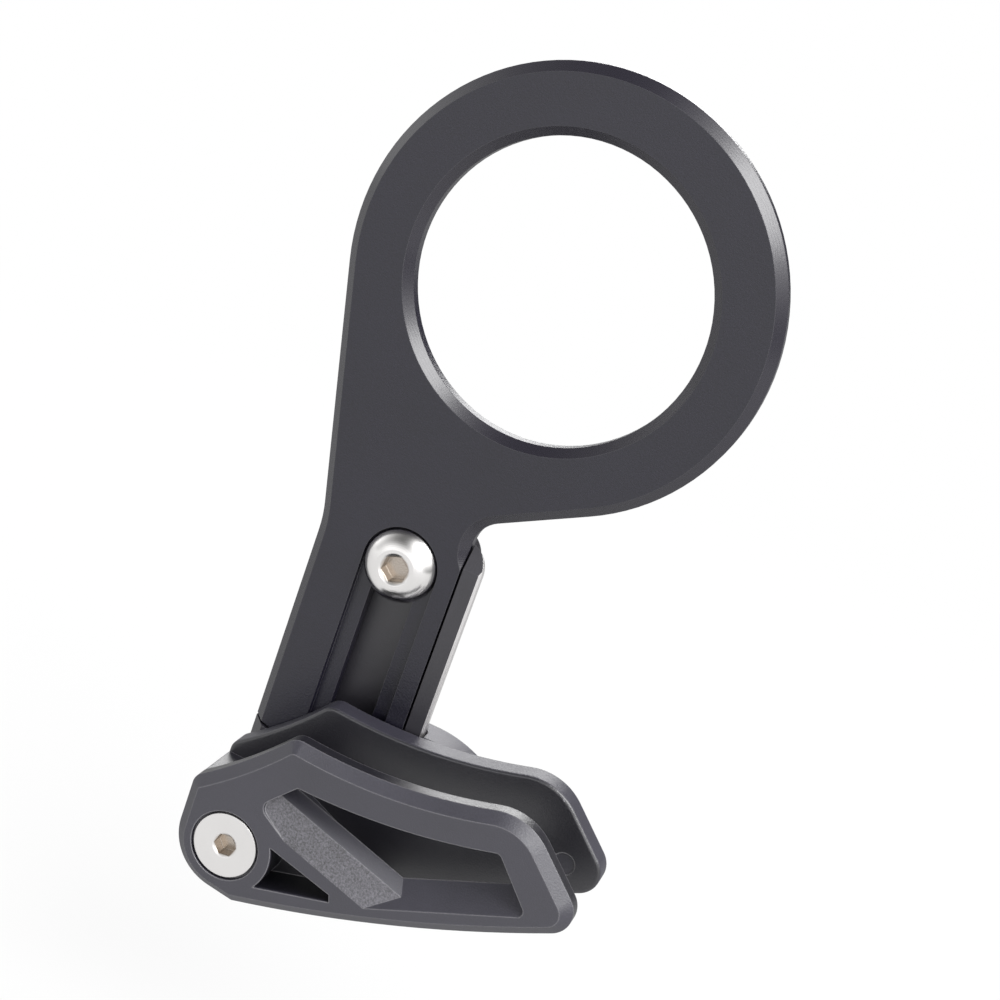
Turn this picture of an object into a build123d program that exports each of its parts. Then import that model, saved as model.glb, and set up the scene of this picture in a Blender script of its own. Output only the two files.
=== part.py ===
"""Chain guide for a bicycle, held by a ring behind the bottom bracket cup.

Frame: X to the right, Z up along the arm, and the chain side faces -Y. The origin is the centre of
the bottom bracket bore, on the ring's mounting face. Heights are measured from that face towards -Y.
"""
import os
from math import cos, radians, sin, sqrt, tan

from build123d import *

os.makedirs("parts", exist_ok=True)

# Ring and arm plate, milled from one sheet of aluminium
bore_d = 35.0
ring_d = 51.2
plate_t = 2.5
edge_chamfer = 1.2
bore_chamfer = 1.05
arm_left = -18.1
arm_right = 0.3
arm_end_r = 65.8
left_lean = 12.8
right_lean = 28.4
bend_r = 16.0
notch_r = 4.0

# Stepped slot in the arm, with the clamp bolt at its upper end
slot_x = -6.8
slot_top_z = -37.3
slot_end_margin = 6.0
shank_clearance = 0.25
recess_clearance = 0.12
recess_depth = 1.0

# Slider behind the arm, with a rail along the arm's right edge and a lug for the guide
slide_gap = 0.05
rail_gap = 0.3
rail_w = 2.3
rail_chamfer = 0.3
rear_chamfer_w = 1.8
rear_chamfer_depth = 3.8
ramp_length = 3.2
ramp_depth = 1.7
slider_t = 2.5
slider_top_margin = 6.2
slider_corner_r = 3.5
slider_end_margin = 0.9
relief_w = 6.6
relief_depth = 1.0
relief_end = 2.0
boss_d = 10.0
boss_h = 2.5
lug_r = 5.5
lug_drop = 7.3
lug_gap = 0.3
lug_neck_w = 14.2
lug_neck_h = 1.0

# Chain channel between two moulded plates
arm_clearance = 0.3
inner_t = 3.2
channel_w = 7.6
outer_t = 3.0
guide_bevel = 1.3
guide_edge_r = 0.4
guide_rear_bevel = 0.3
guide_end_r = 6.6

# Guide outline, as points measured from the guide bolt
guide_bolt_x = -11.9
left_corner_rise = 6.0
left_middle = (-1.4, 10.5)
peak = (3.7, 16.2)
top_middle = (16.55, 16.35)
top_end = (32.1, 20.3)
tip = (43.0, 10.1)
bottom_middle = (21.4, -0.45)
left_corner_r = 1.8
peak_r = 2.0
top_end_r = 7.0
tip_r = 3.0
end_turn = 7.0
heel_length = 3.4
inner_rise = 0.95
inner_reach = 0.4

# Window through the outer plate, with a sloped strut and a sloped lower edge
window_apex = (6.2, 11.1)
window_top_middle = (18.4, 12.0)
window_top_end = (30.8, 14.9)
window_low_end = (36.2, 9.1)
window_low_left = (18.2, 0.8)
strut_knee = (6.9, 4.0)
strut_left = (2.4, 6.8)
strut_slope_w = 3.75
strut_slope_drop = 1.2
strut_wall_draft = 1.1
low_slope_w = 2.8
window_corner_r = 0.8
strut_corner_r = 1.2

# Small weight-saving pocket beside the bolt boss
pocket_depth = 5.1
pocket_boss_r = 5.9
pocket_top = (3.9, 2.8)
pocket_tip_top = (13.9, 0.4)
pocket_tip_low = (14.2, -0.5)
pocket_low = (3.9, -3.6)

# Spacer block that joins the plates at the left end
block_rise = 6.1
block_knee = (4.3, 5.7)
block_low = (15.5, 0.9)
block_end = (17.1, -4.9)
peg_d = 2.4
peg_h = 1.6
peg_clearance = 0.05
pegs = [(-3.6, 3.9), (8.7, -1.3)]

# Rear block of the inner plate, braced against the slider's rail
brace_gap = 0.3
brace_w = 6.5
brace_depth = 4.2
brace_rise = 17.2
brace_length = 9.3
brace_crown = (2.9, -0.19)
brace_slope_drop = 1.3
brace_corner_r = 0.7
ejector_mark = (36.7, 11.7)
ejector_mark_d = 2.8
ejector_mark_depth = 0.2

# Clamp bolt, M5 button head, and guide bolt, M4 countersunk
thread_clearance = 0.03
clamp_bolt_d = 5.0
clamp_head_d = 9.3
clamp_head_h = 2.75
clamp_head_rim = 0.5
clamp_head_flat_d = 4.8
clamp_dome_sag = 0.45
clamp_bolt_length = 8.0
clamp_hex = 3.0
clamp_hex_depth = 1.7
clamp_hex_turn = 20.0
clamp_hex_entry_d = 4.0
guide_bolt_d = 4.0
guide_head_d = 8.0
guide_head_angle = 90.0
guide_head_rim = 0.6
guide_bolt_length = 20.0
guide_hex = 2.5
guide_hex_depth = 1.6
guide_hex_turn = 10.0
guide_hex_entry_d = 3.2
hex_entry_angle = 120.0
guide_head_sink = 0.1
rim_gap = 0.33
head_clearance = 0.06
hole_clearance = 0.25
bolt_end_chamfer = 0.5

# How far cutting shapes run past the faces that they cut
cut_over = 1.0

# Values that follow from the sizes above
ring_r = ring_d / 2
bore_r = bore_d / 2
inner_back = plate_t + arm_clearance
inner_front = inner_back + inner_t
outer_back = inner_front + channel_w
outer_front = outer_back + outer_t
rail_left = arm_right + rail_gap
rail_right = rail_left + rail_w
brace_left = rail_right + brace_gap
slider_back = -(slide_gap + slider_t)
slot_travel = arm_end_r + slot_top_z - slot_end_margin
slot_w = clamp_bolt_d + 2 * shank_clearance
recess_w = clamp_head_d + 2 * recess_clearance
slider_top = slot_top_z + slider_top_margin
slider_end = -(arm_end_r + slider_end_margin)
flange_w = rail_right - rear_chamfer_w - arm_left
flange_h = slider_top - slider_end
lug_chamfer = arm_clearance + edge_chamfer
guide_bolt_z = -(arm_end_r + lug_drop)
clamp_seat = plate_t - recess_depth + slide_gap
clamp_top = clamp_seat + clamp_head_h
clamp_foot = clamp_seat - clamp_bolt_length
clamp_r = clamp_bolt_d / 2
clamp_head_r = clamp_head_d / 2
clamp_flat_r = clamp_head_flat_d / 2
guide_r = guide_bolt_d / 2
head_slope = radians(guide_head_angle / 2)
guide_head_cone = (guide_head_d / 2 - guide_r) / tan(head_slope)
guide_top = outer_front - guide_head_sink
guide_rim = guide_top - guide_head_rim
guide_foot = guide_top - guide_bolt_length
countersink_r = guide_head_d / 2 + head_clearance / cos(head_slope)
hex_entry_slope = radians(hex_entry_angle / 2)
wide_cut = 2 * ring_d


def level(height):
    """Sketch plane parallel to the ring, at a height above its mounting face."""
    return Plane.XZ.offset(height)


def guide_level(height):
    """The same kind of plane, with its centre on the guide bolt."""
    return Plane(origin=(guide_bolt_x, -height, guide_bolt_z), x_dir=(1, 0, 0), z_dir=(0, -1, 0))


def bolt_section(x, z):
    """Half-section plane through a bolt's axis: X is the radius and Y is the height."""
    return Plane(origin=(x, 0, z), x_dir=(1, 0, 0), z_dir=(0, 0, -1))


# Ring and arm
left_tangent = (-ring_r * cos(radians(left_lean)), -ring_r * sin(radians(left_lean)))
bend = (arm_left, left_tangent[1] - (arm_left - left_tangent[0]) / tan(radians(left_lean)))
right_tangent = (ring_r * sin(radians(right_lean)), -ring_r * cos(radians(right_lean)))
notch_x = arm_right + notch_r
notch_rise = (notch_x - right_tangent[0]) * sin(radians(right_lean)) - notch_r
notch_z = right_tangent[1] + notch_rise / cos(radians(right_lean))
notch_start = (notch_x - notch_r * sin(radians(right_lean)), notch_z + notch_r * cos(radians(right_lean)))
notch_end = (notch_x - notch_r * sqrt(0.5), notch_z - notch_r * sqrt(0.5))
blank_right = notch_end[0] + 2 * edge_chamfer
arm_end_left = (arm_left, -sqrt(arm_end_r**2 - arm_left**2))
arm_end_right = (blank_right, -sqrt(arm_end_r**2 - blank_right**2))

with BuildPart() as bb_plate:
    with BuildSketch(level(0)):
        with BuildLine():
            Polyline((0, 0), left_tangent, bend, arm_end_left)
            ThreePointArc(arm_end_left, (0, -arm_end_r), arm_end_right)
            Polyline(arm_end_right, (blank_right, notch_end[1] - blank_right + notch_end[0]), notch_end)
            ThreePointArc(notch_end, (arm_right, notch_z), notch_start)
            Polyline(notch_start, right_tangent, (0, 0))
        arm = make_face()
        fillet(arm.vertices().sort_by_distance((bend[0], bend[1], 0))[0], bend_r)
        Circle(ring_r)
    extrude(amount=plate_t)
    # All edges in front are bevelled but the arm's end
    chamfer(bb_plate.faces().sort_by(Axis.Y)[0].outer_wire().edges().sort_by(Axis.Z)[1:], edge_chamfer)
    # The rail of the slider runs in the space that is trimmed off here
    trim_w = blank_right - arm_right + cut_over
    trim_h = notch_z + arm_end_r + cut_over
    with BuildSketch(level(0)):
        with Locations((arm_right, notch_z)):
            Rectangle(trim_w, trim_h, align=(Align.MIN, Align.MAX))
    extrude(amount=plate_t, mode=Mode.SUBTRACT)
    with BuildSketch(level(0)):
        Circle(bore_r)
    extrude(amount=plate_t, mode=Mode.SUBTRACT)
    chamfer(bb_plate.faces().sort_by(Axis.Y)[0].inner_wires()[0].edges(), bore_chamfer)
    with BuildSketch(level(plate_t)):
        with Locations((slot_x, slot_top_z - slot_travel / 2)):
            SlotCenterToCenter(slot_travel, recess_w, rotation=90)
    extrude(amount=-recess_depth, mode=Mode.SUBTRACT)
    with BuildSketch(level(plate_t)):
        with Locations((slot_x, slot_top_z - slot_travel / 2)):
            SlotCenterToCenter(slot_travel, slot_w, rotation=90)
    extrude(amount=-plate_t, mode=Mode.SUBTRACT)
bb_plate.part.label = "bb_plate"
export_step(bb_plate.part, "parts/bb_plate.step")


# Slider
rail_shoulder = sqrt(slider_corner_r**2 - (slider_corner_r - rail_w) ** 2) - slider_corner_r
with BuildPart() as slider:
    with BuildSketch(level(plate_t)):
        with BuildLine():
            Polyline((rail_right, slider_top - slider_corner_r), (rail_right, slider_end),
                     (rail_left, slider_end), (rail_left, slider_top + rail_shoulder))
            RadiusArc((rail_left, slider_top + rail_shoulder), (rail_right, slider_top - slider_corner_r),
                      slider_corner_r)
        make_face()
    extrude(amount=slider_back - plate_t)
    # The rail has a wide bevel behind and a small one in front, and its top slopes back
    rear = slider.faces().sort_by(Axis.Y)[-1]
    rear_right = rear.edges().filter_by(Axis.Z).sort_by(Axis.X)[-1]
    chamfer(rear_right, rear_chamfer_w, rear_chamfer_depth, reference=rear)
    rail_front = slider.faces().sort_by(Axis.Y)[0]
    chamfer(rail_front.edges().filter_by(Axis.Z).sort_by(Axis.X)[-1], rail_chamfer)
    with BuildSketch(Plane.YZ.offset(arm_right)):
        with BuildLine():
            Polyline((-plate_t, slider_top - ramp_length), (-plate_t + ramp_depth, slider_top),
                     (-plate_t + ramp_depth, slider_top + cut_over),
                     (-plate_t - cut_over, slider_top + cut_over),
                     (-plate_t - cut_over, slider_top - ramp_length), close=True)
        make_face()
    extrude(amount=rail_gap + rail_w + cut_over, mode=Mode.SUBTRACT)
    # Flange behind the arm
    with BuildSketch(level(-slide_gap)) as flange:
        with Locations((arm_left, slider_end)):
            Rectangle(flange_w, flange_h, align=(Align.MIN, Align.MIN))
        fillet(flange.vertices().group_by(Axis.Y)[-1], slider_corner_r)
    extrude(amount=-slider_t)
    # Lug that comes forward round the arm's end and carries the moulded guide
    with BuildSketch(level(inner_back)):
        with Locations((guide_bolt_x, guide_bolt_z)):
            Circle(lug_r)
        with Locations((arm_left, arm_end_left[1])):
            Rectangle(lug_neck_w, arm_end_left[1] - slider_end + lug_neck_h, align=(Align.MIN, Align.MAX))
        make_hull()
        Circle(arm_end_r + lug_gap, mode=Mode.SUBTRACT)
    extrude(amount=slider_back - inner_back)
    chamfer(slider.faces().sort_by(Axis.Y)[0].edges().sort_by(Axis.Z)[:-1], lug_chamfer)
    with BuildSketch(level(-slide_gap)):
        with Locations((slot_x, slider_top)):
            Rectangle(relief_w, flange_h - relief_end, align=(Align.CENTER, Align.MAX))
    extrude(amount=-relief_depth, mode=Mode.SUBTRACT)
    with BuildSketch(level(slider_back)):
        with Locations((slot_x, slot_top_z)):
            Circle(boss_d / 2)
    extrude(amount=-boss_h)
    with BuildSketch(level(inner_back)):
        with Locations((slot_x, slot_top_z)):
            Circle(clamp_bolt_d / 2 + thread_clearance)
        with Locations((guide_bolt_x, guide_bolt_z)):
            Circle(guide_bolt_d / 2 + thread_clearance)
    extrude(amount=slider_back - boss_h - inner_back, mode=Mode.SUBTRACT)
slider.part.label = "slider"
export_step(slider.part, "parts/slider.step")

# Clamp bolt
with BuildPart() as clamp_bolt:
    with BuildSketch(bolt_section(slot_x, slot_top_z)):
        with BuildLine():
            Polyline((0, clamp_top), (0, clamp_foot), (clamp_r - bolt_end_chamfer, clamp_foot),
                     (clamp_r, clamp_foot + bolt_end_chamfer), (clamp_r, clamp_seat),
                     (clamp_head_r, clamp_seat), (clamp_head_r, clamp_seat + clamp_head_rim))
            SagittaArc((clamp_head_r, clamp_seat + clamp_head_rim), (clamp_flat_r, clamp_top),
                       -clamp_dome_sag)
            Line((clamp_flat_r, clamp_top), (0, clamp_top))
        make_face()
    revolve(axis=Axis((slot_x, 0, slot_top_z), (0, 1, 0)))
    with BuildSketch(level(clamp_top)):
        with Locations((slot_x, slot_top_z)):
            RegularPolygon(clamp_hex / 2, 6, major_radius=False, rotation=clamp_hex_turn)
    extrude(amount=-clamp_hex_depth, mode=Mode.SUBTRACT)
    with BuildSketch(bolt_section(slot_x, slot_top_z)):
        with BuildLine():
            Polyline((0, clamp_top), (clamp_hex_entry_d / 2, clamp_top),
                     (0, clamp_top - clamp_hex_entry_d / 2 / tan(hex_entry_slope)), close=True)
        make_face()
    revolve(axis=Axis((slot_x, 0, slot_top_z), (0, 1, 0)), mode=Mode.SUBTRACT)
clamp_bolt.part.label = "clamp_bolt"
export_step(clamp_bolt.part, "parts/clamp_bolt.step")


def guide_shape(reach):
    """Side outline of a moulded plate round its bolt. The right end can reach further out."""
    left_end = (-guide_end_r, 0)
    left_corner = (-guide_end_r, left_corner_rise)
    far_top = (top_end[0] + reach, top_end[1])
    far_tip = (tip[0] + reach, tip[1])
    turn = radians(end_turn)
    touch = (-guide_end_r * sin(turn), -guide_end_r * cos(turn))
    heel = (touch[0] + heel_length * cos(turn), touch[1] - heel_length * sin(turn))
    end_offset = guide_end_r * sqrt(0.5)
    with BuildSketch() as outline:
        with BuildLine():
            Line(left_end, left_corner)
            ThreePointArc(left_corner, left_middle, peak)
            ThreePointArc(peak, top_middle, far_top)
            Line(far_top, far_tip)
            ThreePointArc(far_tip, bottom_middle, heel)
            Line(heel, touch)
            ThreePointArc(touch, (-end_offset, -end_offset), left_end)
        make_face()
        corners = [(left_corner, left_corner_r), (peak, peak_r), (far_top, top_end_r), (far_tip, tip_r)]
        for corner, radius in corners:
            fillet(outline.vertices().sort_by_distance((*corner, 0))[0], radius)
    return outline.sketch


def across(start, end):
    """Section plane square to a line of the guide: X points to its left and Y is the height."""
    run = Vector(end[0] - start[0], 0, end[1] - start[1])
    foot = (guide_bolt_x + start[0], 0, guide_bolt_z + start[1])
    return Plane(origin=foot, x_dir=(-run.Z, 0, run.X), z_dir=run)


# Rear block of the inner plate. Its left side runs along the rail and the rail's rear bevel.
rail_bevel_y = -slider_back - rear_chamfer_depth
brace_rear_left = brace_left - rear_chamfer_w
with BuildPart() as brace:
    with BuildSketch(Plane(origin=(brace_left, -inner_back, guide_bolt_z + brace_rise), x_dir=(1, 0, 0),
                           z_dir=(0, -1, 0))) as side:
        with BuildLine():
            ThreePointArc((0, 0), brace_crown, (brace_w, -brace_slope_drop))
            Polyline((brace_w, -brace_slope_drop), (brace_w, -brace_length), (-rear_chamfer_w, -brace_length),
                     (-rear_chamfer_w, 0), (0, 0))
        make_face()
        fillet(side.vertices().sort_by(Axis.X)[-2:], brace_corner_r)
    extrude(amount=-brace_depth)
    with BuildSketch(Plane.XY):
        with BuildLine():
            Polyline((brace_left, -inner_back - cut_over), (brace_left, rail_bevel_y),
                     (brace_rear_left, -slider_back), (brace_rear_left - cut_over, -slider_back),
                     (brace_rear_left - cut_over, -inner_back - cut_over), close=True)
        make_face()
    extrude(amount=wide_cut, both=True, mode=Mode.SUBTRACT)

# Inner guide plate
with BuildPart() as inner_guide:
    with BuildSketch(guide_level(inner_back)):
        with Locations((0, inner_rise)):
            add(guide_shape(inner_reach))
    extrude(amount=inner_t)
    fillet(inner_guide.faces().sort_by(Axis.Y)[0].edges(), guide_edge_r)
    chamfer(inner_guide.faces().sort_by(Axis.Y)[-1].edges(), guide_rear_bevel)
    # The rear block braces the slider's rail, so the guide can't turn on its bolt
    add(brace.part)
    with BuildSketch(guide_level(inner_front)):
        Circle(guide_bolt_d / 2 + hole_clearance)
    extrude(amount=-inner_t, mode=Mode.SUBTRACT)
    with BuildSketch(guide_level(inner_front)):
        with Locations(*pegs):
            Circle(peg_d / 2 + peg_clearance)
    extrude(amount=-peg_h - hole_clearance, mode=Mode.SUBTRACT)
    with BuildSketch(guide_level(inner_front)):
        with Locations(ejector_mark):
            Circle(ejector_mark_d / 2)
    extrude(amount=-ejector_mark_depth, mode=Mode.SUBTRACT)
inner_guide.part.label = "inner_guide"
export_step(inner_guide.part, "parts/inner_guide.step")

# Window, as the space that is moulded out of the outer guide
with BuildPart() as window:
    with BuildSketch(guide_level(outer_back - cut_over)) as opening:
        with BuildLine():
            ThreePointArc(window_apex, window_top_middle, window_top_end)
            Polyline(window_top_end, window_low_end, window_low_left, strut_knee, strut_left, window_apex)
        make_face()
        for corner in [window_top_end, window_low_end]:
            fillet(opening.vertices().sort_by_distance((*corner, 0))[0], window_corner_r)
        for corner in [strut_left, strut_knee]:
            fillet(opening.vertices().sort_by_distance((*corner, 0))[0], strut_corner_r)
    extrude(amount=outer_t + 2 * cut_over)
    strut_w = strut_slope_w + strut_wall_draft
    with BuildSketch(across(strut_knee, window_low_left)):
        with BuildLine():
            Polyline((-cut_over, outer_front), (0, outer_front),
                     (strut_slope_w, outer_front - strut_slope_drop), (strut_w, outer_back),
                     (strut_w, 0), (-cut_over, 0), close=True)
        make_face()
    extrude(amount=wide_cut, both=True, mode=Mode.SUBTRACT)
    with BuildSketch(across(window_low_left, window_low_end)):
        with BuildLine():
            Polyline((-cut_over, outer_front), (0, outer_front), (low_slope_w, outer_back),
                     (low_slope_w, 0), (-cut_over, 0), close=True)
        make_face()
    extrude(amount=wide_cut, both=True, mode=Mode.SUBTRACT)

# Outer guide plate with its spacer block
guide_outline = guide_shape(0)
with BuildPart() as outer_guide:
    with BuildSketch(guide_level(outer_back)):
        add(guide_outline)
    extrude(amount=outer_t)
    chamfer(outer_guide.faces().sort_by(Axis.Y)[0].edges(), guide_bevel)
    with BuildSketch(guide_level(inner_front)):
        add(guide_outline)
        with BuildLine():
            Polyline((-wide_cut, block_rise), block_knee, block_low, block_end,
                     (-wide_cut, block_end[1] - wide_cut), close=True)
        make_face(mode=Mode.INTERSECT)
    extrude(amount=channel_w)
    with BuildSketch(guide_level(inner_front)):
        with Locations(*pegs):
            Circle(peg_d / 2)
    extrude(amount=-peg_h)
    add(window.part, mode=Mode.SUBTRACT)
    with BuildSketch(guide_level(outer_front)):
        with BuildLine():
            Polyline(pocket_top, pocket_tip_top, pocket_tip_low, pocket_low, close=True)
        make_face()
        Circle(pocket_boss_r, mode=Mode.SUBTRACT)
    extrude(amount=-pocket_depth, mode=Mode.SUBTRACT)
    with BuildSketch(guide_level(outer_front)):
        Circle(guide_head_d / 2 + rim_gap)
    extrude(amount=guide_rim - outer_front, mode=Mode.SUBTRACT)
    with Locations(guide_level(guide_rim)):
        CounterSinkHole(guide_bolt_d / 2 + hole_clearance, countersink_r,
                        counter_sink_angle=guide_head_angle)
outer_guide.part.label = "outer_guide"
export_step(outer_guide.part, "parts/outer_guide.step")

# Guide bolt
with BuildPart() as guide_bolt:
    with BuildSketch(bolt_section(guide_bolt_x, guide_bolt_z)):
        with BuildLine():
            Polyline((0, guide_top), (0, guide_foot), (guide_r - bolt_end_chamfer, guide_foot),
                     (guide_r, guide_foot + bolt_end_chamfer), (guide_r, guide_rim - guide_head_cone),
                     (guide_head_d / 2, guide_rim), (guide_head_d / 2, guide_top), close=True)
        make_face()
    revolve(axis=Axis((guide_bolt_x, 0, guide_bolt_z), (0, 1, 0)))
    with BuildSketch(guide_level(guide_top)):
        RegularPolygon(guide_hex / 2, 6, major_radius=False, rotation=guide_hex_turn)
    extrude(amount=-guide_hex_depth, mode=Mode.SUBTRACT)
    with BuildSketch(bolt_section(guide_bolt_x, guide_bolt_z)):
        with BuildLine():
            Polyline((0, guide_top), (guide_hex_entry_d / 2, guide_top),
                     (0, guide_top - guide_hex_entry_d / 2 / tan(hex_entry_slope)), close=True)
        make_face()
    revolve(axis=Axis((guide_bolt_x, 0, guide_bolt_z), (0, 1, 0)), mode=Mode.SUBTRACT)
guide_bolt.part.label = "guide_bolt"
export_step(guide_bolt.part, "parts/guide_bolt.step")
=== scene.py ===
"""Looks of a bicycle chain guide: black anodised aluminium, moulded nylon plates and stainless bolts."""
from math import cos, pi, radians, sin

import bpy
from mathutils import Matrix, Vector


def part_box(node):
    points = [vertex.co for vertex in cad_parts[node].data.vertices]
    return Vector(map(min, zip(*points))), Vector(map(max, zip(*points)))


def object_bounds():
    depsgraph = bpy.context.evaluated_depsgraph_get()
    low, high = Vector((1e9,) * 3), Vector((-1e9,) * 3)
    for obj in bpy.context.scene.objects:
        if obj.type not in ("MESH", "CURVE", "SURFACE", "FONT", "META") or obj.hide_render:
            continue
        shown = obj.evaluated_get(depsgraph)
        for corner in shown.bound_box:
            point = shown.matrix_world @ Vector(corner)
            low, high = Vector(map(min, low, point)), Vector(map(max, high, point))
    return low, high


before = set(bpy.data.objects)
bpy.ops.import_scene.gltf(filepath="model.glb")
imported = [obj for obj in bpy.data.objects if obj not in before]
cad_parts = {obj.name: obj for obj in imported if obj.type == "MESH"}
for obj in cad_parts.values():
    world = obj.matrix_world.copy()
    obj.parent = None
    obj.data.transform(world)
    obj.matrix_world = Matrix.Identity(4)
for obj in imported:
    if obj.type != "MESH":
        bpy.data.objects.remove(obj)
cad_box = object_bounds()
mm = 0.001


# Ring and arm plate. It is milled from one sheet of aluminium, bead blasted and anodised black.
# The bevels round the ring, the arm and the bore are cut with a form cutter, so they are smoother
# than the blasted faces and show its fine rings.
blasted_black = (0.0080, 0.0071, 0.0155)
bevel_black = (0.016, 0.0145, 0.022, 1)
# Painted highlight: a pale colour laid along the outer edges, where light catches them
painted_edge_highlight = (0.08, 0.077, 0.085, 1)
blast_grain = 0.22 * mm
bevel_tool_pitch = 0.25 * mm
blasted_roughness = 0.34
bevel_roughness = 0.27
roughness_spread = 0.15
anodised_gloss = 0.68
plate_edge = 0.12 * mm
plate_edge_highlight = 0.7
bevel_facing = cos(radians(45))
bevel_grain = 0.2
bevel_ring_height = 0.04
blast_depth = 0.06 * mm


def add_node(tree, kind, inputs=None, **settings):
    """A new shader node. Each input is set to a value, or joined to the socket that is given for it."""
    new = tree.nodes.new("ShaderNode" + kind)
    for name, value in settings.items():
        setattr(new, name, value)
    for name, value in (inputs or {}).items():
        if isinstance(value, bpy.types.NodeSocket):
            tree.links.new(value, new.inputs[name])
        else:
            new.inputs[name].default_value = value
    return new


def maths(tree, operation, *values):
    """The result of a maths node."""
    return add_node(tree, "Math", dict(enumerate(values)), operation=operation).outputs[0]


def fade(tree, value, low, high, start=0.0, end=1.0):
    """A value that goes smoothly from start to end while the given one goes from low to high."""
    ends = {"Value": value, "From Min": low, "From Max": high, "To Min": start, "To Max": end}
    return add_node(tree, "MapRange", ends, interpolation_type="SMOOTHSTEP").outputs[0]


def mix_colours(tree, share, first, second):
    """The second colour laid over the first by a share from 0 to 1."""
    mix = add_node(tree, "Mix", {"Factor": share}, data_type="RGBA")
    for socket, colour in zip((mix.inputs[6], mix.inputs[7]), (first, second)):
        if isinstance(colour, bpy.types.NodeSocket):
            tree.links.new(colour, socket)
        else:
            socket.default_value = colour
    return mix.outputs[2]


def shade(tree, colour, tone):
    """A colour made lighter or darker by a tone round 0."""
    level = maths(tree, "ADD", 1, tone)
    return add_node(tree, "VectorMath", {0: colour, "Scale": level}, operation="SCALE").outputs[0]


def new_group(name, inputs, outputs):
    """An empty shader node group with number inputs and the outputs' socket types."""
    tree = bpy.data.node_groups.new(name, "ShaderNodeTree")
    for socket, default in inputs.items():
        made = tree.interface.new_socket(socket, in_out="INPUT", socket_type="NodeSocketFloat")
        made.default_value = default
    for socket, kind in outputs.items():
        tree.interface.new_socket(socket, in_out="OUTPUT", socket_type="NodeSocket" + kind)
    return tree, tree.nodes.new("NodeGroupInput").outputs, tree.nodes.new("NodeGroupOutput").inputs


def use_group(tree, group, **inputs):
    """A group placed in a material, with its own values."""
    sockets = {name.replace("_", " ").capitalize(): value for name, value in inputs.items()}
    return add_node(tree, "Group", node_tree=group, inputs=sockets).outputs


def new_material(name, *nodes):
    """A material on the given CAD nodes. Returns its tree and its shader."""
    material = bpy.data.materials.new(name)
    material.use_nodes = True
    for node in nodes:
        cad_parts[node].data.materials.clear()
        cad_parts[node].data.materials.append(material)
    return material.node_tree, material.node_tree.nodes["Principled BSDF"]


# Fine grain of a blasted or spark eroded surface, with broad faint clouds in its tone
cloud_size = 40
cloud_contrast = 0.35
speck_contrast = 0.9
grain_group, grain_in, grain_out = new_group(
    "surface_grain", {"Size": blast_grain}, {"Height": "Float", "Tone": "Float"})
place = add_node(grain_group, "TexCoord").outputs["Object"]
grain_scale = maths(grain_group, "DIVIDE", 1, grain_in["Size"])
fine = {"Vector": place, "Scale": grain_scale, "Detail": 3, "Roughness": 0.6}
fine = add_node(grain_group, "TexNoise", fine).outputs["Fac"]
cloud_scale = maths(grain_group, "DIVIDE", grain_scale, cloud_size)
cloud = add_node(grain_group, "TexNoise", {"Vector": place, "Scale": cloud_scale, "Detail": 2}).outputs["Fac"]
grain_group.links.new(fine, grain_out["Height"])
speck = maths(grain_group, "MULTIPLY", maths(grain_group, "SUBTRACT", fine, 0.5), speck_contrast)
cloud = maths(grain_group, "MULTIPLY", maths(grain_group, "SUBTRACT", cloud, 0.5), cloud_contrast)
grain_group.links.new(maths(grain_group, "ADD", speck, cloud), grain_out["Tone"])

# Rings that a turning tool or a round cutter leaves round an axis along Y
wobble_scale = 700
wobble_turns = 1.5
rings_group, rings_in, rings_out = new_group(
    "tool_rings", {"Centre x": 0, "Centre z": 0, "Pitch": bevel_tool_pitch},
    {"Height": "Float", "Radius": "Float", "Angle": "Float"})
place = add_node(rings_group, "TexCoord").outputs["Object"]
spot = add_node(rings_group, "SeparateXYZ", {0: place}).outputs
away_x = maths(rings_group, "SUBTRACT", spot[0], rings_in["Centre x"])
away_z = maths(rings_group, "SUBTRACT", spot[2], rings_in["Centre z"])
square_x = maths(rings_group, "MULTIPLY", away_x, away_x)
radius = maths(rings_group, "SQRT", maths(rings_group, "MULTIPLY_ADD", away_z, away_z, square_x))
wobble = add_node(rings_group, "TexNoise", {"Vector": place, "Scale": wobble_scale}).outputs["Fac"]
turns = maths(rings_group, "DIVIDE", radius, rings_in["Pitch"])
turns = maths(rings_group, "MULTIPLY_ADD", wobble, wobble_turns, turns)
ripple = maths(rings_group, "SINE", maths(rings_group, "MULTIPLY", turns, 2 * pi))
rings_group.links.new(ripple, rings_out["Height"])
rings_group.links.new(radius, rings_out["Radius"])
rings_group.links.new(maths(rings_group, "ARCTAN2", away_z, away_x), rings_out["Angle"])

# Soft edges: a rounded normal, and a mask of the narrow band along each outer edge
edges_group, edges_in, edges_out = new_group(
    "soft_edges", {"Radius": plate_edge}, {"Normal": "Vector", "Edge": "Float"})
rounded = add_node(edges_group, "Bevel", {"Radius": edges_in["Radius"]}, samples=6).outputs[0]
flat = add_node(edges_group, "NewGeometry").outputs["Normal"]
agree = add_node(edges_group, "VectorMath", {0: rounded, 1: flat}, operation="DOT_PRODUCT").outputs["Value"]
edges_group.links.new(rounded, edges_out["Normal"])
edges_group.links.new(fade(edges_group, agree, 0.995, 0.90), edges_out["Edge"])

# How far a face turns to the chain side, to the right and up: on the front, 1 for the flat face,
# about 0.7 for a bevel and 0 for a wall
facing_group, _, facing_out = new_group(
    "facing", {}, {"Front": "Float", "Right": "Float", "Up": "Float"})
face = add_node(facing_group, "NewGeometry").outputs["True Normal"]
face = add_node(facing_group, "SeparateXYZ", {0: face}).outputs
facing_group.links.new(maths(facing_group, "MULTIPLY", face[1], -1), facing_out["Front"])
facing_group.links.new(face[0], facing_out["Right"])
facing_group.links.new(face[2], facing_out["Up"])

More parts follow.
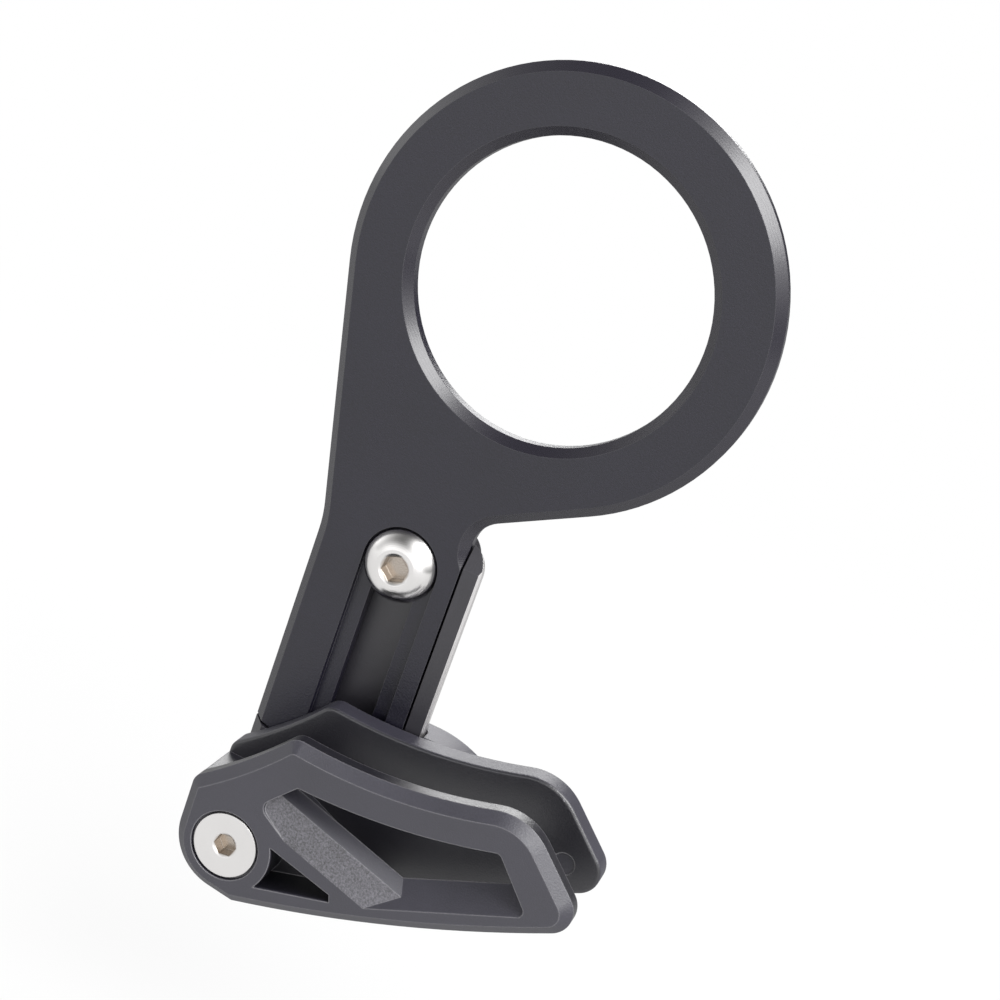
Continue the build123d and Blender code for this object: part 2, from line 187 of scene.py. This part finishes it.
plate, plate_shader = new_material("blasted_black_anodising", "bb_plate")
plate_shader.inputs["Specular IOR Level"].default_value = anodised_gloss
grain = use_group(plate, grain_group, size=blast_grain)
rings = use_group(plate, rings_group, pitch=bevel_tool_pitch)
edges = use_group(plate, edges_group, radius=plate_edge)
front = use_group(plate, facing_group)["Front"]
off_bevel = maths(plate, "ABSOLUTE", maths(plate, "SUBTRACT", front, bevel_facing))
bevel = fade(plate, off_bevel, 0.22, 0.12)
dark = mix_colours(plate, bevel, shade(plate, blasted_black, grain["Tone"]), bevel_black)
# Painted highlight along the plate's outer edges
edge_highlight_share = maths(plate, "MULTIPLY", edges["Edge"], plate_edge_highlight)
plate.links.new(mix_colours(plate, edge_highlight_share, dark, painted_edge_highlight), plate_shader.inputs["Base Color"])
rough = fade(plate, bevel, 0, 1, blasted_roughness, bevel_roughness)
rough = maths(plate, "MULTIPLY_ADD", grain["Tone"], roughness_spread, rough)
plate.links.new(rough, plate_shader.inputs["Roughness"])
blast_height = maths(plate, "MULTIPLY", grain["Height"], fade(plate, bevel, 0, 1, 1, bevel_grain))
ring_height = maths(plate, "MULTIPLY", rings["Height"], bevel)
plate_height = maths(plate, "MULTIPLY_ADD", ring_height, bevel_ring_height, blast_height)
relief = {"Height": plate_height, "Normal": edges["Normal"], "Strength": 0.6, "Distance": blast_depth}
plate.links.new(add_node(plate, "Bump", relief).outputs[0], plate_shader.inputs["Normal"])


# Slider. It is milled from aluminium and anodised black like the plate, and carries the guide up and
# down the arm. The rail's right side is given bright metal as a painted reflection: it stands in for
# the bright strip that its satin black side reflects.
milled_black = (0.021, 0.0195, 0.026)
rail_sheen_metal = (0.85, 0.83, 0.83, 1)
milled_gloss = 0.85
milled_roughness = 0.40
milled_grain = 0.12 * mm
milled_depth = 0.04 * mm
slider_edge = 0.12 * mm
slider_edge_highlight = 0.4
rail_side_w = 1.0 * mm

slider, slider_shader = new_material("milled_black_anodising", "slider")
slider_shader.inputs["Specular IOR Level"].default_value = milled_gloss
grain = use_group(slider, grain_group, size=milled_grain)
edges = use_group(slider, edges_group, radius=slider_edge)
right_turn = use_group(slider, facing_group)["Right"]
rail_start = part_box("slider")[1].x - rail_side_w
across = add_node(slider, "SeparateXYZ", {0: add_node(slider, "TexCoord").outputs["Object"]}).outputs[0]
# Painted reflection: the rail's right side gets a bright metal colour for the bright strip it reflects
rail_sheen = maths(slider, "MULTIPLY", fade(slider, right_turn, 0.55, 0.68),
                maths(slider, "GREATER_THAN", across, rail_start))
dark = shade(slider, milled_black, grain["Tone"])
# Painted highlight along the slider's outer edges
edge_highlight_share = maths(slider, "MULTIPLY", edges["Edge"], slider_edge_highlight)
dark = mix_colours(slider, edge_highlight_share, dark, painted_edge_highlight)
slider.links.new(mix_colours(slider, rail_sheen, dark, rail_sheen_metal), slider_shader.inputs["Base Color"])
slider.links.new(rail_sheen, slider_shader.inputs["Metallic"])
rough = maths(slider, "MULTIPLY_ADD", grain["Tone"], 0.2, milled_roughness)
slider.links.new(rough, slider_shader.inputs["Roughness"])
relief = {"Height": grain["Height"], "Normal": edges["Normal"], "Strength": 0.4, "Distance": milled_depth}
slider.links.new(add_node(slider, "Bump", relief).outputs[0], slider_shader.inputs["Normal"])


# Clamp bolt. A stainless button head bolt holds the slider at its height in the arm's slot. Its head
# is turned and polished, its socket is forged and keeps a brown film, and its thread is rolled.
stainless = (0.86, 0.845, 0.835)
socket_brown = (0.50, 0.445, 0.39, 1)
socket_roughness = 0.27
socket_end = 3 * mm
thread_start = 4 * mm
turning_pitch = 0.22 * mm
turning_depth = 0.0006 * mm
bolt_grain = 0.1 * mm
bolt_grain_depth = 0.003 * mm
bolt_edge = 0.15 * mm
clamp_pitch = 0.8 * mm
clamp_hex = 3.0 * mm
clamp_roughness = 0.20


def stainless_material(name, node, thread_pitch, hex_flats, roughness):
    """Turned stainless steel with a brown hexagon socket and a thread, for one bolt."""
    low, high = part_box(node)
    axis = (low + high) / 2
    tree, shader = new_material(name, node)
    rings = use_group(tree, rings_group, centre_x=axis.x, centre_z=axis.z, pitch=turning_pitch)
    grain = use_group(tree, grain_group, size=bolt_grain)
    edges = use_group(tree, edges_group, radius=bolt_edge)
    spot = add_node(tree, "SeparateXYZ", {0: add_node(tree, "TexCoord").outputs["Object"]}).outputs
    depth = maths(tree, "SUBTRACT", spot[1], low.y)
    inside = fade(tree, rings["Radius"], hex_flats * 0.66, hex_flats * 0.60)
    socket = maths(tree, "MULTIPLY", inside, fade(tree, depth, 0.02 * mm, 0.25 * mm))
    socket = maths(tree, "MULTIPLY", socket, fade(tree, depth, socket_end, socket_end + 0.5 * mm, 1, 0))
    turned = shade(tree, stainless, maths(tree, "MULTIPLY", grain["Tone"], 0.2))
    tree.links.new(mix_colours(tree, socket, turned, socket_brown), shader.inputs["Base Color"])
    shader.inputs["Metallic"].default_value = 1
    rough = fade(tree, socket, 0, 1, roughness, socket_roughness)
    tree.links.new(maths(tree, "MULTIPLY_ADD", grain["Tone"], 0.1, rough), shader.inputs["Roughness"])
    turn = maths(tree, "MULTIPLY", rings["Angle"], 1 / pi)
    thread = maths(tree, "PINGPONG", maths(tree, "MULTIPLY_ADD", spot[1], 2 / thread_pitch, turn), 1)
    side = fade(tree, maths(tree, "ABSOLUTE", use_group(tree, facing_group)["Front"]), 0.6, 0.4)
    shank = maths(tree, "MULTIPLY", side, fade(tree, depth, thread_start, thread_start + 0.5 * mm))
    height = maths(tree, "MULTIPLY", maths(tree, "MULTIPLY", thread, shank), thread_pitch / 2)
    height = maths(tree, "MULTIPLY_ADD", rings["Height"], turning_depth, height)
    height = maths(tree, "MULTIPLY_ADD", grain["Height"], bolt_grain_depth, height)
    relief = {"Height": height, "Normal": edges["Normal"], "Distance": 1}
    tree.links.new(add_node(tree, "Bump", relief).outputs[0], shader.inputs["Normal"])


stainless_material("polished_stainless", "clamp_bolt", clamp_pitch, clamp_hex, clamp_roughness)


# Inner and outer guide plates. They are moulded in charcoal glass-filled nylon, with a fine eroded
# texture. The outer one carries the spacer block and a window, whose strut has a coarser texture;
# its up-facing slope is also painted lighter, a painted highlight for the light it catches.
# The walls and faces on the channel side are smoother, and are painted darker as painted shade.
nylon = (0.025, 0.0235, 0.036)
nylon_edge_highlight = (0.24, 0.235, 0.25, 1)
strut_speckle_and_light = (0.085, 0.082, 0.096)
mould_grain = 0.20 * mm
strut_grain = 0.24 * mm
strut_front = 0.953
strut_contrast = 3.5
strut_depth = 2.5
mould_depth = 0.07 * mm
mould_edge = 0.25 * mm
edge_highlight_strength = 0.75
nylon_gloss = 1.0
nylon_roughness = 0.5
channel_roughness = 0.36
# Painted shade for the channel side and the window's walls
channel_painted_shade = (0.009, 0.0085, 0.013)
outer_thickness = 3.0 * mm
face_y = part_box("outer_guide")[0].y
channel_front = face_y + outer_thickness
channel_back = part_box("inner_guide")[0].y + 0.1 * mm

guide, guide_shader = new_material("filled_nylon_moulding", "inner_guide", "outer_guide")
guide_shader.inputs["Specular IOR Level"].default_value = nylon_gloss
grain = use_group(guide, grain_group, size=mould_grain)
coarse = use_group(guide, grain_group, size=strut_grain)
edges = use_group(guide, edges_group, radius=mould_edge)
turn = use_group(guide, facing_group)
off_strut = maths(guide, "ABSOLUTE", maths(guide, "SUBTRACT", turn["Front"], strut_front))
strut = maths(guide, "MULTIPLY", fade(guide, off_strut, 0.02, 0.01), fade(guide, turn["Up"], 0.2, 0.25))
depth = add_node(guide, "SeparateXYZ", {0: add_node(guide, "TexCoord").outputs["Object"]}).outputs[1]
# Painted shade: the window's walls and the channel-side faces get a near-black colour
wall = maths(guide, "MULTIPLY", fade(guide, depth, face_y + 0.3 * mm, face_y + 0.6 * mm),
             fade(guide, turn["Front"], 0.35, 0.2))
channel = maths(guide, "MAXIMUM", wall, fade(guide, depth, channel_front, channel_front + 0.5 * mm))
channel = maths(guide, "MULTIPLY", channel, fade(guide, depth, channel_back, channel_back + 0.2 * mm, 1, 0))
inner = shade(guide, channel_painted_shade, grain["Tone"])
dark = mix_colours(guide, channel, shade(guide, nylon, grain["Tone"]), inner)
# Painted highlight: the strut's up-facing slope gets a lighter colour; the speckle is its coarse texture
speckle = maths(guide, "MULTIPLY", coarse["Tone"], strut_contrast)
dark = mix_colours(guide, strut, dark, shade(guide, strut_speckle_and_light, speckle))
# Painted highlight along the guide plates' outer edges
pale_edge_highlight = maths(guide, "MULTIPLY", edges["Edge"], edge_highlight_strength)
guide.links.new(mix_colours(guide, pale_edge_highlight, dark, nylon_edge_highlight), guide_shader.inputs["Base Color"])
rough = fade(guide, channel, 0, 1, nylon_roughness, channel_roughness)
guide.links.new(maths(guide, "MULTIPLY_ADD", grain["Tone"], 0.2, rough), guide_shader.inputs["Roughness"])
strut_height = maths(guide, "MULTIPLY", maths(guide, "MULTIPLY", coarse["Height"], strut), strut_depth)
guide_height = maths(guide, "ADD", grain["Height"], strut_height)
relief = {"Height": guide_height, "Normal": edges["Normal"], "Strength": 0.5, "Distance": mould_depth}
guide.links.new(add_node(guide, "Bump", relief).outputs[0], guide_shader.inputs["Normal"])


# Guide bolt. A stainless countersunk bolt goes through both plates into the slider's lug.
# Its flat head is faced on a lathe, so it is duller than the clamp bolt's.
guide_pitch = 0.7 * mm
guide_hex = 2.5 * mm
guide_roughness = 0.30
stainless_material("turned_stainless", "guide_bolt", guide_pitch, guide_hex, guide_roughness)


# Dim studio with a white floor. A broad soft light stands on the right, with weak ones in front, on
# the left and behind. The background is plain white to the camera, and the floor keeps a faint shadow.
# The floor lies below the guide at its lowest setting.
room_light = 0.10
soft_lights = ((85, 46, 3.6), (48, 46, 2.2), (30, 8, 1.5), (0, 8, 0.7), (-35, 5, 1.1),
               (-90, 38, 0.25), (-90, 8, 0.9), (-120, 8, 0.8))
light_focus = 10
guide_travel = 22.5 * mm
floor_gap = 0.5 * mm
floor_size = 6.0
floor_shadow = 0.12
shadow_reach = 0.35
floor_behind = 0.6
floor_near_shadow = 0.87
paper_grey = (0.6, 0.6, 0.6, 1)


def direction(azimuth, elevation):
    """The way from the object to a light, with azimuth 0 on the chain side and 90 on the right."""
    level = cos(radians(elevation))
    return Vector((sin(radians(azimuth)) * level, -cos(radians(azimuth)) * level, sin(radians(elevation))))


world = bpy.data.worlds.new("dim_studio")
bpy.context.scene.world = world
world.use_nodes = True
room = world.node_tree
way = add_node(room, "TexCoord").outputs["Generated"]
strength = room_light
for azimuth, elevation, brightness in soft_lights:
    toward = {0: way, 1: direction(azimuth, elevation)}
    near = add_node(room, "VectorMath", toward, operation="DOT_PRODUCT").outputs["Value"]
    near = maths(room, "POWER", maths(room, "MAXIMUM", near, 0), light_focus)
    strength = maths(room, "MULTIPLY_ADD", near, brightness, strength)
seen = add_node(room, "LightPath").outputs
strength = maths(room, "MAXIMUM", strength, seen["Is Camera Ray"])
room.links.new(strength, room.nodes["Background"].inputs["Strength"])
room.nodes["Background"].inputs["Color"].default_value = (1, 1, 1, 1)

centre = (Vector(cad_box[0]) + Vector(cad_box[1])) / 2
floor_z = cad_box[0][2] - guide_travel - floor_gap
bpy.ops.mesh.primitive_plane_add(size=floor_size, location=(centre.x, centre.y, floor_z))
floor = bpy.context.object
floor.name = "floor"
paper = bpy.data.materials.new("white_paper")
paper.use_nodes = True
sheet = paper.node_tree
matte = sheet.nodes["Principled BSDF"]
matte.inputs["Base Color"].default_value = paper_grey
matte.inputs["Roughness"].default_value = 1
matte.inputs["Specular IOR Level"].default_value = 0
seen = add_node(sheet, "LightPath").outputs
shown = maths(sheet, "MAXIMUM", seen["Is Camera Ray"], seen["Is Glossy Ray"])
shown = maths(sheet, "MAXIMUM", shown, seen["Is Transmission Ray"])
spot = add_node(sheet, "TexCoord").outputs["Object"]
distance = add_node(sheet, "VectorMath", {0: spot}, operation="LENGTH").outputs["Value"]
plain = fade(sheet, distance, 0, shadow_reach, 1 - floor_shadow, 1)
spot = add_node(sheet, "SeparateXYZ", {0: spot}).outputs
toward_front = maths(sheet, "DIVIDE", maths(sheet, "MULTIPLY", spot[1], -1), distance)
# Painted shadow: in reflections the floor is darker near the object; it is also darker behind it
mirrored_glow = maths(sheet, "MULTIPLY", fade(sheet, toward_front, -1, 0.6, floor_behind, 1),
                 fade(sheet, distance, 0.1, 0.5, floor_near_shadow, 1))
glow = add_node(sheet, "Emission", {"Strength": maths(sheet, "MAXIMUM", seen["Is Camera Ray"], mirrored_glow)})
cover = add_node(sheet, "MixShader", {0: maths(sheet, "MULTIPLY", shown, plain)})
sheet.links.new(matte.outputs[0], cover.inputs[1])
sheet.links.new(glow.outputs[0], cover.inputs[2])
sheet.links.new(cover.outputs[0], sheet.nodes["Material Output"].inputs["Surface"])
floor.data.materials.append(paper)


def add_soft_box(name, azimuth, elevation, distance, size, radiance):
    """A square area lamp aimed at the object, as bright as its radiance."""
    lamp = bpy.data.lights.new(name, "AREA")
    lamp.size = size
    lamp.energy = radiance * pi * size**2
    box = bpy.data.objects.new(name, lamp)
    way = direction(azimuth, elevation)
    box.location = centre + way * distance
    box.rotation_euler = way.to_track_quat("Z", "Y").to_euler()
    bpy.context.scene.collection.objects.link(box)


add_soft_box("right_soft_box", azimuth=63, elevation=49, distance=0.50, size=0.28, radiance=7.0)
add_soft_box("rear_soft_box", azimuth=-166, elevation=30, distance=0.60, size=0.40, radiance=5.5)


# Camera at the photograph's angle, with its picture taken as square
lens = 65.955
camera_place = Vector((44.717, -199.503, 39.235)) * mm
camera_azimuth = radians(12.27)
camera_elevation = radians(17.59)
camera_roll = radians(20.18)

camera_data = bpy.data.cameras.new("camera")
camera_data.lens = lens
camera_data.sensor_width = 36
camera_data.clip_start = 0.01
camera = bpy.data.objects.new("camera", camera_data)
bpy.context.scene.collection.objects.link(camera)
back = Vector((sin(camera_azimuth) * cos(camera_elevation),
               -cos(camera_azimuth) * cos(camera_elevation), sin(camera_elevation)))
level_right = Vector((cos(camera_azimuth), sin(camera_azimuth), 0))
level_up = back.cross(level_right)
right = level_right * cos(camera_roll) + level_up * sin(camera_roll)
up = back.cross(right)
camera.matrix_world = Matrix.Translation(camera_place) @ Matrix((right, up, back)).transposed().to_4x4()
bpy.context.scene.camera = camera
bpy.context.scene.view_settings.view_transform = "Standard"
